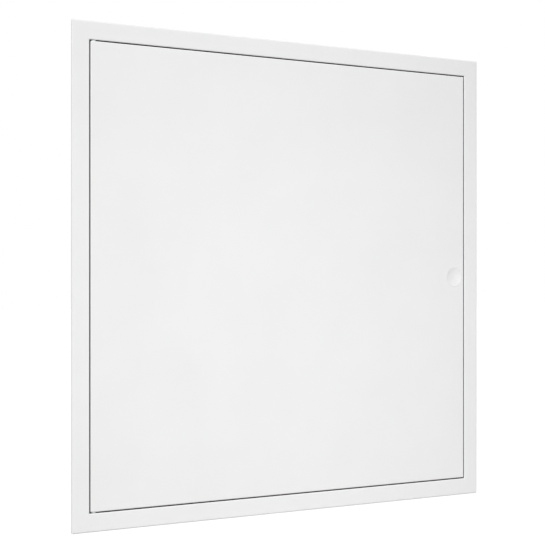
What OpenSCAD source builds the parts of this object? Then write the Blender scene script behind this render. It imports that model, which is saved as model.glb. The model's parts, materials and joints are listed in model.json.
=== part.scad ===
// Flush access panel: a tray door on two hidden pivots in a mitred flange frame.
// Millimetres. X runs to the latch side, Y back through the opening and Z up.
// The origin is the centre of the opening, on the plane where the flange meets the ceiling or wall.

/* [Frame] */
// Overall width across the flange
panel_w = 650; // [450:5:900]
// Overall height across the flange
panel_h = 650; // [450:5:900]
// Width of the flange seen from the front
flange_w = 24; // [20:0.5:40]
// Depth of the frame from its front face to its back edge
frame_depth = 50; // [46:0.5:80]
// Thickness of the frame's sheet steel
frame_sheet = 1.2; // [0.8:0.1:1.6]
// Clear gap inside the open hem along the flange's outer edge
hem_gap = 1.6; // [0.8:0.1:2.4]
// Width of the hem's return behind the flange
hem_w = 9; // [6:0.5:12]
// Width of the lip turned inward at the back of the frame
back_lip_w = 8; // [5:0.5:9]
// Radius of the flange's outer corners
flange_corner_r = 2.5; // [1:0.5:6]
// Inside radius of the sheet bends
bend_r = 0.3; // [0.2:0.1:0.8]

/* [Door] */
// Gap between the door's edge and the frame, all round
door_gap = 1.5; // [1.3:0.1:3]
// Thickness of the door's sheet steel
door_sheet = 1.2; // [0.8:0.1:1.6]
// Depth of the door tray
door_depth = 16; // [15:0.5:25]
// Width of the lip turned inward at the back of the door tray
door_lip_w = 8; // [6:0.5:12]
// Radius of the door's corners seen from the front
door_corner_r = 2; // [0.5:0.5:4]

/* [Stop and seal] */
// Width of the ledge that the door closes against
stop_w = 9; // [7:0.5:11]
// Length of the leg that holds a stop angle to the frame's wall
stop_leg = 14; // [8:0.5:18]
// Thickness of the stop angles' sheet
stop_sheet = 1.2; // [0.8:0.1:1.6]
// Width of the rubber seals
seal_w = 7; // [4:0.5:8]
// Height of the seals off the ledge
seal_h = 3; // [2:0.1:5]
// Height of the lower seal on the hinge side, where the door's heel swings back
heel_seal_h = 2; // [1.5:0.1:2.2]
// Height of the flat strip under a seal's dome
seal_base = 1; // [0.5:0.1:1.2]
// Width of the flat shoulder beside a seal's dome
seal_shoulder = 0.5; // [0.2:0.1:1]
// Clearance between a seal and the frame's wall
seal_edge = 0.2; // [0.1:0.1:0.5]
// Bare ledge between the seals at the corners, where the door's heel swings past
seal_joint = 2.2; // [2:0.1:4]
// Clearance between the closed door and the seals
seal_clear = 0.3; // [0.2:0.1:1]

/* [Corner cleats] */
// Length of each leg of a corner cleat
cleat_leg = 40; // [38:1:70]
// Thickness of a corner cleat
cleat_t = 2; // [1.5:0.1:4]
// Distance from the back edge of a cleat to the back of the frame
cleat_back_gap = 4; // [2:0.5:5]
// Shank diameter of the blind rivets
rivet_d = 4; // [3:0.1:4.8]
// Radial clearance around a rivet's shank
rivet_play = 0.05; // [0.02:0.01:0.2]
// Distance from a cleat's corner to its first rivet
rivet_inset = 16; // [12:0.5:18]
// Spacing of the two rivets in a leg
rivet_pitch = 16; // [10:0.5:18]

/* [Fixing holes] */
// Diameter of the fixing holes in the frame's walls
fix_hole_d = 5; // [4:0.1:8]
// Distance of a fixing hole from the end of its wall
fix_inset = 101; // [60:1:200]

/* [Stiffeners] */
// Thickness of the stiffeners' sheet
hat_sheet = 1; // [0.7:0.1:1.5]
// Width of a stiffener's crown
hat_crown_w = 30; // [20:1:60]
// Width of each foot of a stiffener
hat_foot_w = 14; // [10:1:25]
// Depth of a stiffener off the door skin
hat_depth = 11; // [6:0.5:13]
// Distance from a stiffener's centre line to the door's edge
hat_inset = 150; // [110:1:190]
// Gap between a stiffener's end and the door's back lip
hat_end_gap = 3; // [1:0.5:20]

/* [Pivots] */
// Diameter of the pivot pins
pin_d = 4; // [3.5:0.1:5]
// Radial clearance of a pin in its holes
pin_play = 0.05; // [0.02:0.01:0.1]
// Length of the tapered tip of a pin
pin_tip = 0.8; // [0.3:0.1:1.4]
// Length of a pin past the piece that it passes through last
pin_reach = 1.5; // [1:0.1:3]
// Radial step from the spring pin to its collar
collar_step = 1; // [0.8:0.1:1.5]
// Height of the spring pin's collar
collar_h = 2.5; // [1.5:0.1:5]
// Clearance between the collar and the back of the door skin
collar_clear = 0.3; // [0.2:0.1:1]
// Clearance between the collar and the inside of the door's edge
collar_side_clear = 0.7; // [0.5:0.1:1.5]
// Clearance between the collar and the ear above it
collar_stop_clear = 0.2; // [0.1:0.1:0.5]
// Travel of the spring pin when its handle is pulled down
pin_travel = 8; // [6:0.5:12]
// Length of the spring pin's handle past its bend
handle_l = 20; // [10:1:40]
// Centre-line radius of the bend between the spring pin and its handle
handle_bend_r = 4; // [3:0.5:8]
// Length of the pin below the guide, before the bend
handle_drop = 5; // [2:0.5:15]
// Clearance between the fixed pin's head and the back of the flange
pin_head_clear = 0.3; // [0.2:0.1:0.6]
// Height of the fixed pin's head
pin_head_h = 1.5; // [1:0.1:3]

/* [Pivot bushes] */
// Wall of the nylon bushes
bush_wall = 0.7; // [0.5:0.05:0.9]
// Radial step from a bush's sleeve to its flange
bush_step = 0.8; // [0.4:0.1:1]
// Length of a bush's sleeve past the sheet that it sits in
bush_sleeve = 3; // [1:0.5:6]
// Clearance between a bush's flange and the frame
bush_clear = 0.3; // [0.2:0.1:0.6]

/* [Pin guide and spring] */
// Thickness of the guide's sheet
guide_sheet = 2; // [1.5:0.1:3]
// Length left for the spring when the pin is pulled right down
spring_pulled_l = 23.3; // [15:0.1:40]
// Distance from the guide to the door's top edge
guide_drop = 12; // [8:0.5:25]
// Width of the guide's base on the door skin
guide_base_w = 20; // [12:1:40]
// Gap between the pin's collar and the guide's base
guide_gap = 1; // [0.5:0.1:3]
// Margin of the ears behind the pin's centre line
ear_margin = 4; // [3:0.5:5]
// Wire diameter of the spring
spring_wire = 0.7; // [0.5:0.05:0.8]
// Turns of the spring
spring_turns = 8; // [5:1:12]
// Clearance around the spring, towards the pin and at its ends
spring_play = 0.08; // [0.05:0.01:0.1]

/* [Latch cap] */
// Diameter of the cap
cap_d = 28; // [24:0.5:40]
// Thickness of the cap's disc
cap_t = 2.4; // [2:0.1:4]
// Depth of the dish in the cap
dish_depth = 1.4; // [0.5:0.1:1.5]
// Width of the flat rim around the dish
dish_rim = 0.5; // [0.3:0.1:2]
// Radial clearance around the cap
cap_play = 0.1; // [0.05:0.05:0.3]
// Width of the seat under the cap's rim
cap_seat = 1.5; // [1:0.1:2]
// Length of the skirt behind the cap's disc
skirt_l = 3.8; // [2:0.1:3.8]
// Wall of the skirt
skirt_t = 1.2; // [0.8:0.1:2]

/* [Latch housing] */
// Wall of the housing
housing_wall = 1.5; // [1:0.1:2.5]
// Depth of the floor of the housing's cup behind the door's front
cup_depth = 9; // [8:0.1:10]
// Clearance between the housing's cup and the inside of the door's edge
cup_clear = 1.2; // [0.5:0.1:10]
// Wall of the housing's barrel
barrel_wall = 2; // [1.5:0.1:3]
// Clearance between the barrel and the lips beside it
barrel_clear = 1.5; // [0.5:0.1:5]
// Thickness of the housing's ears
ear_t = 2.5; // [2:0.1:4]
// Width of the housing's ears
ear_w = 14; // [12:0.5:18]
// Diameter of the studs on the door skin
stud_d = 4; // [3:0.5:5]
// Clearance between a stud and the housing's cup
stud_clear = 4; // [3.5:0.5:8]
// Length of a stud past its nut
stud_tail = 1.5; // [0.5:0.5:4]
// Radial clearance around a stud
stud_play = 0.15; // [0.1:0.05:0.3]
// Width across the flats of the stud nuts
nut_af = 7; // [6:0.5:8]
// Height of the stud nuts
nut_h = 3.2; // [2:0.1:5]

/* [Latch core and cam] */
// Diameter of the core
core_d = 12; // [11:0.1:14]
// Radial clearance of the core in the barrel
core_play = 0.05; // [0.02:0.01:0.1]
// Diameter of the core's head
core_head_d = 18; // [15:0.5:21]
// Thickness of the core's head
core_head_t = 1.9; // [1.6:0.1:2.2]
// Clearance between the core's head and the cup's floor
core_head_clear = 0.1; // [0.05:0.05:0.3]
// Width of the driver slot in the core's head
slot_w = 2; // [1:0.1:3]
// Length of the driver slot
slot_l = 14; // [8:0.5:16]
// Depth of the driver slot
slot_depth = 1.2; // [0.8:0.1:1.4]
// Side of the square tang that carries the cam
tang = 7; // [6:0.1:7.5]
// Clearance on each side of the tang
tang_play = 0.05; // [0.02:0.01:0.2]
// Length of the cam past the end of the tang
tang_recess = 0.2; // [0.1:0.1:0.5]
// Width of the cam
cam_w = 14; // [12:0.5:16]
// Thickness of the cam
cam_t = 2.5; // [2:0.1:4]
// Radius of the cam's hub
cam_hub_r = 9; // [7:0.5:10]
// Gap between the cam and the ledge that it locks behind
cam_clear = 0.5; // [0.3:0.1:1]
// Gap between the cam's tip and the stop angle's leg
cam_tip_clear = 1.5; // [1:0.1:3]
// Thickness of the spring washer between the barrel and the cam
spring_washer_t = 1.2; // [0.8:0.1:2]
// Clearance around the spring washer
washer_play = 0.1; // [0.05:0.05:0.3]
// Diameter of the cam screw's thread
screw_d = 5; // [4:0.5:5]
// Length of the cam screw under its washer
screw_l = 10; // [6:0.5:14]
// Diameter of the cam screw's head
screw_head_d = 9.4; // [8:0.2:11]
// Height of the cam screw's head
screw_head_h = 3; // [2:0.1:4]
// Width of the cross recess in the screw's head
recess_w = 1.2; // [0.8:0.1:1.5]
// Length of the cross recess
recess_l = 5; // [3:0.5:6]
// Depth of the cross recess
recess_depth = 1.6; // [0.8:0.1:1.8]
// Radial clearance around the cam screw
screw_play = 0.05; // [0.02:0.01:0.3]
// Diameter of the washer under the screw's head
cam_washer_d = 14; // [12:0.5:18]
// Thickness of that washer
cam_washer_t = 1.2; // [0.8:0.1:2]

/* [Hidden] */
$fn = 64;

// Colours of the pieces
powder_white = "#F2F2F0";
zinc = "#B9BDBE";
rubber_black = "#1E1E1F";
nylon_white = "#F4F3EE";
latch_grey = "#55585A";

// The four sides, each a quarter turn about Y from the one before
SIDES = ["top", "lock", "bottom", "hinge"];

// A cutter passes this far beyond what it cuts
over = 1;

// Main sizes of the frame and the door
hem_t = 2 * frame_sheet + hem_gap;
hem_r = hem_t / 2;
front_y = -hem_t;
opening_w = panel_w - 2 * flange_w;
opening_h = panel_h - 2 * flange_w;
door_w = opening_w - 2 * door_gap;
door_h = opening_h - 2 * door_gap;
wall_half_w = opening_w / 2 + frame_sheet;
wall_half_h = opening_h / 2 + frame_sheet;

// Depths behind the front face
ledge_front = door_depth + seal_clear + seal_h;
ledge_back = ledge_front + stop_sheet;
stop_end = ledge_front + stop_leg;
fix_depth = (stop_end + frame_depth - frame_sheet) / 2;
cleat_front = frame_sheet + bend_r;
cleat_back = frame_depth - cleat_back_gap;

// Proportions of a set blind rivet
rivet_head_r = rivet_d;
rivet_head_h = 0.35 * rivet_d;
rivet_tail_r = 0.75 * rivet_d;
rivet_tail_h = 0.9 * rivet_d;

// Pivot line and the pieces along it
pin_hole_r = pin_d / 2 + pin_play;
collar_r = pin_d / 2 + collar_step;
pivot_depth = door_sheet + collar_r + collar_clear;
pivot_x = -door_w / 2 + door_sheet + collar_r + collar_side_clear;
bush_r = pin_hole_r + bush_wall;
bush_flange_t = door_gap - bush_clear;
pin_head_r = pivot_depth - frame_sheet - pin_head_clear;
guide_h = 2 * guide_sheet + collar_stop_clear + collar_h + pin_travel + spring_pulled_l;
guide_top = door_h / 2 - guide_drop;
guide_bottom = guide_top - guide_h;
guide_left = pivot_x - collar_r;
guide_base_x = pivot_x + collar_r + guide_gap;
collar_top = guide_top - guide_sheet - collar_stop_clear;
pin_top = wall_half_h + cleat_t + pin_reach;
pin_bend_z = guide_bottom - handle_drop;

// Spring path between the lower ear and the collar
spring_r = pin_d / 2 + spring_play + spring_wire / 2;
spring_low = guide_bottom + guide_sheet + spring_play + spring_wire / 2;
spring_high = collar_top - collar_h - spring_play - spring_wire / 2;
spring_sides = 8;
spring_steps = 12;
spring_rings = spring_turns * spring_steps;

// Latch stack, from the cap to the cam
cap_r = cap_d / 2;
dish_r = cap_r - dish_rim;
dish_sphere_r = (dish_r * dish_r + dish_depth * dish_depth) / (2 * dish_depth);
cup_in_r = cap_r - cap_seat;
cup_out_r = cap_r + housing_wall;
barrel_r = core_d / 2 + core_play + barrel_wall;
cam_front = ledge_back + cam_clear;
cam_back = cam_front + cam_t;
barrel_end = cam_front - spring_washer_t - washer_play;
stud_z = cup_out_r + stud_clear + stud_d / 2;

// The latch stands as near the door's edge as its cup, the door's lip and the ledge let it
latch_backset = max(
  cup_out_r + cup_clear + door_sheet,
  door_lip_w + barrel_clear + barrel_r,
  stop_w - door_gap + barrel_clear + barrel_r
);
latch_x = door_w / 2 - latch_backset;
cam_reach = latch_backset + door_gap - stop_sheet - cam_tip_clear;

// Turn about Y that brings a side from the top to its place
function side_turn(side) = 90 * search([side], SIDES)[0];

// Length of one side of a rectangle of w by h, and its distance from the centre
function upright(side) = side == "lock" || side == "hinge";
function side_length(side, w, h) = upright(side) ? h : w;
function side_reach(side, w, h) = (upright(side) ? w : h) / 2;

// Distance along a wall from its middle to rivet k, counted from the corner
function rivet_along(side, k) =
  side_length(side, opening_w, opening_h) / 2 + frame_sheet + cleat_t - rivet_inset - k * rivet_pitch;

// Quarter of a sheet bend about the origin, in the quadrant that the two signs name
module sheet_bend(sheet, sign_x, sign_y) {
  outer = bend_r + sheet;
  intersection() {
    difference() {
      circle(r = outer);
      circle(r = bend_r);
    }
    translate([sign_x > 0 ? 0 : -outer, sign_y > 0 ? 0 : -outer]) square(outer);
  }
}

// Rectangle with round corners, centred
module rounded_rect(w, h, r) {
  square([w - 2 * r, h], center = true);
  square([w, h - 2 * r], center = true);
  for (x = [-1, 1], y = [-1, 1]) translate([x * (w / 2 - r), y * (h / 2 - r)]) circle(r = r);
}

// Carries a section along one side of a rectangle of w by h.
// The section's X runs inward from the rectangle's edge, and its Y back from the front face.
module side_run(side, length, w, h) {
  rotate([0, side_turn(side), 0])
    translate([0, front_y, side_reach(side, w, h)])
      rotate([0, 90, 0])
        linear_extrude(length, center = true) children();
}

// Side run whose two ends are cut at 45 degrees to meet its neighbours
module mitred_run(side, w, h) {
  length = side_length(side, w, h);
  difference() {
    side_run(side, length, w, h) children();
    rotate([0, side_turn(side), 0])
      for (end = [-1, 1])
        translate([end * length / 2, 0, side_reach(side, w, h)])
          rotate([0, 90 - end * 45, 0])
            translate([0, -length, -length]) cube([length, 2 * length, 2 * length]);
  }
}

// Places children with their own Z axis running back, from a depth behind the front face
module from_front(x, z, depth) {
  translate([x, front_y + depth, z]) rotate([-90, 0, 0]) children();
}

// Places children on the pivot line at a height
module on_pivot(z) {
  translate([pivot_x, front_y + pivot_depth, z]) children();
}

// Places children on a wall's inner face, their Z axis pointing out of the opening
module on_wall(side, along, depth) {
  rotate([0, side_turn(side), 0])
    translate([along, front_y + depth, side_reach(side, opening_w, opening_h)]) children();
}

// Prism of a rounded rectangle that trims the corners of what is as deep as the frame
module corner_trim(w, h, r) {
  from_front(0, 0, -over) linear_extrude(frame_depth + 2 * over) rounded_rect(w, h, r);
}

// Holes for the pivot pins through the frame's walls and the cleats
module pivot_holes() {
  for (end = [-1, 1])
    on_pivot(end * (wall_half_h + cleat_t / 2))
      cylinder(r = pin_hole_r, h = 2 * (frame_sheet + cleat_t + over), center = true);
}

// Holes for the rivets through one wall and its cleats
module rivet_holes(side) {
  for (end = [-1, 1], k = [0, 1])
    on_wall(side, end * rivet_along(side, k), fix_depth)
      translate([0, 0, -over]) cylinder(r = rivet_d / 2 + rivet_play, h = frame_sheet + cleat_t + 2 * over);
}

// Folded section of the frame: open hem, flange, wall and back lip
module frame_section() {
  bend = bend_r + frame_sheet;
  wall_outer = flange_w - frame_sheet;
  difference() {
    translate([hem_r, hem_r]) circle(r = hem_r);
    translate([hem_r, hem_r]) circle(r = hem_gap / 2);
    translate([hem_r, -over]) square([hem_t, hem_t + 2 * over]);
  }
  translate([hem_r, hem_t - frame_sheet]) square([hem_w - hem_r, frame_sheet]);
  translate([hem_r, 0]) square([flange_w - bend - hem_r, frame_sheet]);
  translate([flange_w - bend, bend]) sheet_bend(frame_sheet, 1, -1);
  translate([wall_outer, bend]) square([frame_sheet, frame_depth - 2 * bend]);
  translate([wall_outer + bend, frame_depth - bend]) sheet_bend(frame_sheet, -1, 1);
  translate([wall_outer + bend, frame_depth - frame_sheet]) square([back_lip_w - bend, frame_sheet]);
}

module frame_rail(side) {
  color(powder_white)
    difference() {
      intersection() {
        mitred_run(side, panel_w, panel_h) frame_section();
        corner_trim(panel_w, panel_h, flange_corner_r);
      }
      rivet_holes(side);
      for (end = [-1, 1])
        on_wall(side, end * (side_length(side, opening_w, opening_h) / 2 - fix_inset), fix_depth)
          cylinder(d = fix_hole_d, h = 2 * (frame_sheet + over), center = true);
      if (!upright(side)) pivot_holes();
    }
}

// Section of a stop angle, its X measured from the frame's wall
module stop_section() {
  bend = bend_r + stop_sheet;
  translate([bend, ledge_front]) square([stop_w - bend, stop_sheet]);
  translate([bend, ledge_front + bend]) sheet_bend(stop_sheet, -1, -1);
  translate([0, ledge_front + bend]) square([stop_sheet, stop_leg - bend]);
}

module stop_angle(side) {
  color(powder_white) mitred_run(side, opening_w, opening_h) stop_section();
}

// Domed section of a seal of height h on the ledge
module seal_section(h) {
  dome_h = h - seal_base;
  dome_half_w = seal_w / 2 - seal_shoulder;
  dome_r = (dome_half_w * dome_half_w + dome_h * dome_h) / (2 * dome_h);
  translate([seal_edge, ledge_front - seal_base]) square([seal_w, seal_base]);
  intersection() {
    translate([seal_edge + seal_w / 2, ledge_front - h + dome_r]) circle(r = dome_r);
    translate([seal_edge, ledge_front - h]) square([seal_w, dome_h]);
  }
}

// The seals at the sides run full height, and those at the top and bottom fit between them
module seal(side) {
  end_clear = upright(side) ? seal_edge : seal_edge + seal_w + seal_joint;
  length = side_length(side, opening_w, opening_h) - 2 * end_clear;
  color(rubber_black)
    side_run(side, length, opening_w, opening_h) seal_section(side == "hinge" ? heel_seal_h : seal_h);
}

// Angle outside one corner of the frame's walls
module corner_cleat(sign_x, sign_z) {
  color(zinc)
    difference() {
      mirror([sign_x < 0 ? 1 : 0, 0, 0])
        mirror([0, 0, sign_z < 0 ? 1 : 0])
          translate([wall_half_w + cleat_t, front_y + cleat_front, wall_half_h + cleat_t])
            difference() {
              translate([-cleat_leg, 0, -cleat_leg]) cube([cleat_leg, cleat_back - cleat_front, cleat_leg]);
              translate([-cleat_leg - cleat_t, -over, -cleat_leg - cleat_t])
                cube([cleat_leg, cleat_back - cleat_front + 2 * over, cleat_leg]);
            }
      rivet_holes(sign_z > 0 ? "top" : "bottom");
      rivet_holes(sign_x > 0 ? "lock" : "hinge");
      pivot_holes();
    }
}

// Rivet with its domed head outside the cleat and its tail inside the wall
module rivet() {
  grip = frame_sheet + cleat_t;
  dome_r = (rivet_head_r * rivet_head_r + rivet_head_h * rivet_head_h) / (2 * rivet_head_h);
  cylinder(d = rivet_d, h = grip);
  translate([0, 0, -rivet_tail_h]) cylinder(r1 = rivet_d / 2, r2 = rivet_tail_r, h = rivet_tail_h);
  intersection() {
    translate([0, 0, grip + rivet_head_h - dome_r]) sphere(r = dome_r);
    translate([0, 0, grip]) cylinder(r = rivet_head_r + over, h = rivet_head_h);
  }
}

module cleat_rivets() {
  color(zinc)
    for (side = SIDES, end = [-1, 1], k = [0, 1])
      on_wall(side, end * rivet_along(side, k), fix_depth) rivet();
}

// Fixed pin, headed under the bottom cleat
module bottom_pivot_pin() {
  foot = -wall_half_h - cleat_t;
  tip = -door_h / 2 + door_sheet + bush_sleeve + pin_reach;
  color(zinc) {
    on_pivot(foot - pin_head_h) cylinder(r = pin_head_r, h = pin_head_h);
    on_pivot(foot) cylinder(d = pin_d, h = tip - pin_tip - foot);
    on_pivot(tip - pin_tip) cylinder(d1 = pin_d, d2 = pin_d - pin_tip, h = pin_tip);
  }
}

// Folded edge of the door tray, from the bend at the front to the lip at the back
module tray_section() {
  bend = bend_r + door_sheet;
  translate([bend, 0]) square([door_lip_w - bend, door_sheet]);
  translate([bend, bend]) sheet_bend(door_sheet, -1, -1);
  translate([0, bend]) square([door_sheet, door_depth - 2 * bend]);
  translate([bend, door_depth - bend]) sheet_bend(door_sheet, -1, 1);
  translate([bend, door_depth - door_sheet]) square([door_lip_w - bend, door_sheet]);
}

module door_skin() {
  inner_w = door_w - 2 * door_lip_w;
  inner_h = door_h - 2 * door_lip_w;
  color(powder_white)
    difference() {
      intersection() {
        union() {
          for (side = SIDES) mitred_run(side, door_w, door_h) tray_section();
          from_front(0, 0, 0) linear_extrude(door_sheet) square([inner_w, inner_h], center = true);
        }
        corner_trim(door_w, door_h, door_corner_r);
      }
      from_front(latch_x, 0, -over) cylinder(r = cap_r + cap_play, h = door_sheet + 2 * over);
      for (end = [-1, 1])
        on_pivot(end * door_h / 2) cylinder(r = bush_r, h = 2 * (door_sheet + over), center = true);
    }
}

// Hat section, symmetrical about its centre line, its Y measured from the door skin
module hat_section() {
  bend = bend_r + hat_sheet;
  half = hat_crown_w / 2;
  translate([bend - half, hat_depth - hat_sheet]) square([hat_crown_w - 2 * bend, hat_sheet]);
  for (flip = [0, 1])
    mirror([flip, 0]) {
      translate([half - bend, hat_depth - bend]) sheet_bend(hat_sheet, 1, 1);
      translate([half - hat_sheet, bend]) square([hat_sheet, hat_depth - 2 * bend]);
      translate([half - hat_sheet + bend, bend]) sheet_bend(hat_sheet, -1, -1);
      translate([half - hat_sheet + bend, 0]) square([hat_foot_w + hat_sheet - bend, hat_sheet]);
    }
}

module door_stiffener(sign_z) {
  length = door_w - 2 * (door_lip_w + hat_end_gap);
  color(powder_white)
    side_run(sign_z > 0 ? "top" : "bottom", length, door_w, door_h)
      translate([hat_inset, door_sheet]) hat_section();
}

// Flanged bush: the sleeve sits in the door's edge, and the flange rides in the gap
module pivot_bush(sign_z) {
  sleeve = door_sheet + bush_sleeve;
  color(nylon_white)
    mirror([0, 0, sign_z < 0 ? 1 : 0])
      on_pivot(door_h / 2)
        difference() {
          union() {
            translate([0, 0, -sleeve]) cylinder(r = bush_r, h = sleeve + bush_flange_t);
            cylinder(r = bush_r + bush_step, h = bush_flange_t);
          }
          translate([0, 0, -sleeve - over]) cylinder(r = pin_hole_r, h = sleeve + bush_flange_t + 2 * over);
        }
}

// Bracket with two bored ears that hold the spring pin
module pin_guide() {
  ear_depth = pivot_depth + ear_margin - door_sheet;
  ear_l = guide_base_x + guide_base_w - guide_left;
  color(zinc)
    difference() {
      translate([0, front_y + door_sheet, 0])
        union() {
          translate([guide_base_x, 0, guide_bottom]) cube([guide_base_w, guide_sheet, guide_h]);
          for (z = [guide_bottom, guide_top - guide_sheet])
            translate([guide_left, 0, z]) cube([ear_l, ear_depth, guide_sheet]);
        }
      on_pivot(guide_bottom - over) cylinder(r = pin_hole_r, h = guide_h + 2 * over);
    }
}

// Top pivot pin with a collar for its spring and a handle bent towards the middle of the door
module spring_pin() {
  color(zinc) {
    on_pivot(pin_bend_z) cylinder(d = pin_d, h = pin_top - pin_tip - pin_bend_z);
    on_pivot(pin_top - pin_tip) cylinder(d1 = pin_d, d2 = pin_d - pin_tip, h = pin_tip);
    on_pivot(collar_top - collar_h) cylinder(r = collar_r, h = collar_h);
    on_pivot(pin_bend_z)
      translate([handle_bend_r, 0, 0])
        rotate([90, 0, 0])
          rotate([0, 0, 180])
            rotate_extrude(angle = 90) translate([handle_bend_r, 0]) circle(d = pin_d);
    on_pivot(pin_bend_z - handle_bend_r)
      translate([handle_bend_r, 0, 0]) rotate([0, 90, 0]) cylinder(d = pin_d, h = handle_l);
    on_pivot(pin_bend_z - handle_bend_r) translate([handle_bend_r + handle_l, 0, 0]) sphere(d = pin_d);
  }
}

// Point j of ring i of the spring's wire
function spring_point(i, j) =
  let (
    turn = 360 * i / spring_steps,
    around = 360 * j / spring_sides,
    r = spring_r + spring_wire / 2 * cos(around)
  )
  [
    r * cos(turn),
    r * sin(turn),
    spring_low + (spring_high - spring_low) * i / spring_rings + spring_wire / 2 * sin(around)
  ];

// Coil swept as rings of points, with a flat cap at each end
module pin_spring() {
  last = spring_rings * spring_sides;
  points = [for (i = [0 : spring_rings], j = [0 : spring_sides - 1]) spring_point(i, j)];
  walls = [
    for (i = [0 : spring_rings - 1], j = [0 : spring_sides - 1])
      let (a = i * spring_sides + j, b = i * spring_sides + (j + 1) % spring_sides)
        each [[a, b, b + spring_sides], [a, b + spring_sides, a + spring_sides]]
  ];
  caps = [
    [for (j = [spring_sides - 1 : -1 : 0]) j],
    [for (j = [0 : spring_sides - 1]) last + j]
  ];
  color(zinc) on_pivot(0) polyhedron(points = points, faces = concat(walls, caps));
}

// Cup and barrel behind the door skin, with an ear above and below
module latch_housing() {
  color(latch_grey)
    difference() {
      union() {
        from_front(latch_x, 0, door_sheet)
          linear_extrude(ear_t) {
            square([ear_w, 2 * stud_z], center = true);
            for (end = [-1, 1]) translate([0, end * stud_z]) circle(d = ear_w);
          }
        from_front(latch_x, 0, door_sheet) cylinder(r = cup_out_r, h = cup_depth + housing_wall - door_sheet);
        from_front(latch_x, 0, cup_depth) cylinder(r = barrel_r, h = barrel_end - cup_depth);
      }
      from_front(latch_x, 0, 0) cylinder(r = cap_r + cap_play, h = cap_t + cap_play);
      from_front(latch_x, 0, 0) cylinder(r = cup_in_r, h = cup_depth);
      from_front(latch_x, 0, 0) cylinder(r = core_d / 2 + core_play, h = barrel_end + over);
      for (end = [-1, 1])
        from_front(latch_x, end * stud_z, 0) cylinder(d = stud_d + 2 * stud_play, h = cup_depth);
    }
}

module latch_studs() {
  color(zinc)
    for (end = [-1, 1])
      from_front(latch_x, end * stud_z, door_sheet) cylinder(d = stud_d, h = ear_t + nut_h + stud_tail);
}

module latch_nuts() {
  color(zinc)
    for (end = [-1, 1])
      from_front(latch_x, end * stud_z, door_sheet + ear_t)
        difference() {
          cylinder(d = nut_af / cos(30), h = nut_h, $fn = 6);
          translate([0, 0, -over]) cylinder(d = stud_d + 2 * stud_play, h = nut_h + 2 * over);
        }
}

// Turning core: slotted head in the cup, shank in the barrel, square tang for the cam
module latch_core() {
  head_back = cup_depth - core_head_clear;
  head_front = head_back - core_head_t;
  tang_end = cam_back - tang_recess;
  color(zinc)
    difference() {
      union() {
        from_front(latch_x, 0, head_front) cylinder(d = core_head_d, h = core_head_t);
        from_front(latch_x, 0, head_back) cylinder(d = core_d, h = cam_front - head_back);
        from_front(latch_x, 0, cam_front)
          linear_extrude(tang_end - cam_front) square(tang, center = true);
      }
      from_front(latch_x, 0, head_front - over)
        linear_extrude(slot_depth + over) square([slot_w, slot_l], center = true);
      from_front(latch_x, 0, cam_back - screw_l - over)
        cylinder(r = screw_d / 2 + screw_play, h = screw_l + 2 * over);
    }
}

// Cam at rest, turned clear of the ledge and pointing down
module latch_cam() {
  tip_r = cam_w / 2;
  color(zinc)
    from_front(latch_x, 0, cam_front)
      linear_extrude(cam_t)
        difference() {
          union() {
            circle(r = cam_hub_r);
            translate([-tip_r, 0]) square([cam_w, cam_reach - tip_r]);
            translate([0, cam_reach - tip_r]) circle(r = tip_r);
          }
          square(tang + 2 * tang_play, center = true);
        }
}

module cam_spring_washer() {
  color(zinc)
    from_front(latch_x, 0, barrel_end + washer_play)
      difference() {
        cylinder(r = barrel_r, h = spring_washer_t);
        translate([0, 0, -over]) cylinder(r = core_d / 2 + washer_play, h = spring_washer_t + 2 * over);
      }
}

module cam_washer() {
  color(zinc)
    from_front(latch_x, 0, cam_back)
      difference() {
        cylinder(d = cam_washer_d, h = cam_washer_t);
        translate([0, 0, -over]) cylinder(r = screw_d / 2 + screw_play, h = cam_washer_t + 2 * over);
      }
}

module cam_screw() {
  head_back = cam_back + cam_washer_t + screw_head_h;
  color(zinc)
    difference() {
      union() {
        from_front(latch_x, 0, cam_back - screw_l) cylinder(d = screw_d, h = screw_l + cam_washer_t);
        from_front(latch_x, 0, cam_back + cam_washer_t) cylinder(d = screw_head_d, h = screw_head_h);
      }
      for (turn = [0, 90])
        from_front(latch_x, 0, head_back - recess_depth)
          rotate([0, 0, turn])
            linear_extrude(recess_depth + over) square([recess_w, recess_l], center = true);
    }
}

// Dished cap, flush with the door, with a skirt that grips the cup
module latch_cap() {
  skirt_r = cup_in_r - cap_play;
  color(powder_white)
    difference() {
      union() {
        from_front(latch_x, 0, 0) cylinder(r = cap_r, h = cap_t);
        from_front(latch_x, 0, cap_t)
          difference() {
            cylinder(r = skirt_r, h = skirt_l);
            cylinder(r = skirt_r - skirt_t, h = skirt_l + over);
          }
      }
      from_front(latch_x, 0, dish_depth - dish_sphere_r) sphere(r = dish_sphere_r, $fn = 360);
    }
}

frame_rail("top");  // frame_rail_top
frame_rail("lock");  // frame_rail_lock_side
frame_rail("bottom");  // frame_rail_bottom
frame_rail("hinge");  // frame_rail_hinge_side
stop_angle("top");  // stop_angle_top
stop_angle("lock");  // stop_angle_lock_side
stop_angle("bottom");  // stop_angle_bottom
stop_angle("hinge");  // stop_angle_hinge_side
seal("top");  // seal_top
seal("lock");  // seal_lock_side
seal("bottom");  // seal_bottom
seal("hinge");  // seal_hinge_side
corner_cleat(-1, 1);  // corner_cleat_hinge_top
corner_cleat(1, 1);  // corner_cleat_lock_top
corner_cleat(1, -1);  // corner_cleat_lock_bottom
corner_cleat(-1, -1);  // corner_cleat_hinge_bottom
cleat_rivets();
bottom_pivot_pin();
door_skin();
door_stiffener(1);  // door_stiffener_upper
door_stiffener(-1);  // door_stiffener_lower
pivot_bush(1);  // pivot_bush_top
pivot_bush(-1);  // pivot_bush_bottom
pin_guide();
latch_housing();
latch_studs();
latch_nuts();
spring_pin();
pin_spring();
latch_core();
latch_cam();
cam_spring_washer();
cam_washer();
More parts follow.
